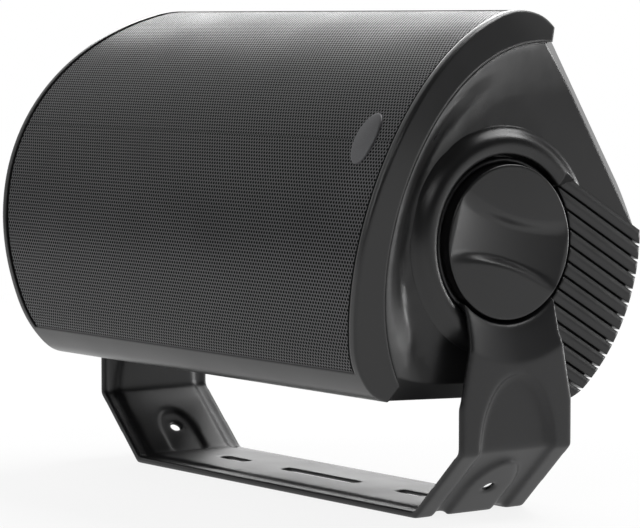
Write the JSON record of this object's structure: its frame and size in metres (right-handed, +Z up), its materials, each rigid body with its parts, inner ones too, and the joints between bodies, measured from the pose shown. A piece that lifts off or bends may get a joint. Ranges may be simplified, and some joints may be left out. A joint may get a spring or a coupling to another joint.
{
  "type": "outdoor patio speaker",
  "caption": "Outdoor patio loudspeaker with a curved perforated grille and barrel-curved ends, tilting in a U-shaped metal bracket and locked by end clamp knobs.",
  "frame": {"origin": "midway between the two side slots of the bracket's crossbar, on the plane that the crossbar stands on, straight below the tilt axis", "axes": "+Z up, +X along the speaker towards the end with the oval plate, -Y towards the listener"},
  "size_m": [0.322, 0.1821, 0.2394],
  "materials": {
    "cabinet_plastic": "satin moulded",
    "knob_plastic": "satin moulded",
    "grille_metal": "powder coated, perforated",
    "bracket_metal": "powder coated",
    "badge_metal": "satin with a bright rim",
    "brass": "turned",
    "steel": "zinc plated",
    "rubber": "matt",
    "ferrite": "sintered",
    "cone_plastic": "moulded sheet",
    "copper": "enamelled wire",
    "circuit_board": "lacquered",
    "capacitor_sleeve": "shrunk sleeve",
    "resistor_cement": "cast",
    "red_plastic": "moulded",
    "black_plastic": "moulded",
    "wadding": "loose fibre",
    "dome_fabric": "coated weave"
  },
  "bodies": {
    "bracket": {"bracket": "bracket_metal"},
    "speaker": {"cabinet": "cabinet_plastic", "cabinet_gasket": "rubber", "front_baffle": "cabinet_plastic", "grille": "grille_metal", "badge_plate": "badge_metal", "baffle_screws": "steel", "damping_pad": "wadding", "stud_inserts": "brass", "friction_washers": "rubber", "woofer_basket": "steel", "woofer_top_plate": "steel", "woofer_magnet": "ferrite", "woofer_yoke": "steel", "woofer_spider": "dome_fabric", "woofer_gasket": "rubber", "woofer_screws": "steel", "woofer_surround": "rubber", "tweeter_faceplate": "cabinet_plastic", "tweeter_screws": "steel", "tweeter_dome": "dome_fabric", "tweeter_yoke": "steel", "tweeter_magnet": "ferrite", "terminal_plate": "black_plastic", "terminal_screws": "steel", "red_post": "brass", "black_post": "brass", "crossover_board": "circuit_board", "board_screws": "steel", "inductor_coils": "copper", "capacitors": "capacitor_sleeve", "resistors": "resistor_cement"},
    "woofer_cone": {"woofer_cone": "cone_plastic", "dust_cap": "cone_plastic", "voice_coil": "copper"},
    "right_knob": {"right_knob": "knob_plastic", "right_knob_stud": "steel"},
    "left_knob": {"left_knob": "knob_plastic", "left_knob_stud": "steel"},
    "red_cap": {"red_post_cap": "red_plastic"},
    "black_cap": {"black_post_cap": "black_plastic"}
  },
  "joints": [
    {"name": "speaker_tilt", "type": "hinge", "parent": "bracket", "child": "speaker", "pos_m": [0, 0, 0.131], "axis": [1, 0, 0], "range_deg": [-148, 32]},
    {"name": "right_knob_turn", "type": "hinge", "parent": "speaker", "child": "right_knob", "pos_m": [0.1437, 0, 0.131], "axis": [1, 0, 0], "range_deg": [0, 450]},
    {"name": "left_knob_turn", "type": "hinge", "parent": "speaker", "child": "left_knob", "pos_m": [-0.1437, 0, 0.131], "axis": [-1, 0, 0], "range_deg": [0, 450]},
    {"name": "woofer_cone_travel", "type": "slide", "parent": "speaker", "child": "woofer_cone", "axis": [0, -0.8643, 0.503], "range_m": [-0.004, 0.004], "stiffness_N_per_m": 1200, "deforming": ["woofer_surround", "woofer_spider"]},
    {"name": "red_cap_turn", "type": "hinge", "parent": "speaker", "child": "red_cap", "pos_m": [0.00953, 0.07217, 0.089], "axis": [0, 0.8643, -0.503], "range_deg": [0, 720]},
    {"name": "black_cap_turn", "type": "hinge", "parent": "speaker", "child": "black_cap", "pos_m": [-0.00953, 0.07217, 0.089], "axis": [0, 0.8643, -0.503], "range_deg": [0, 720]}
  ]
}
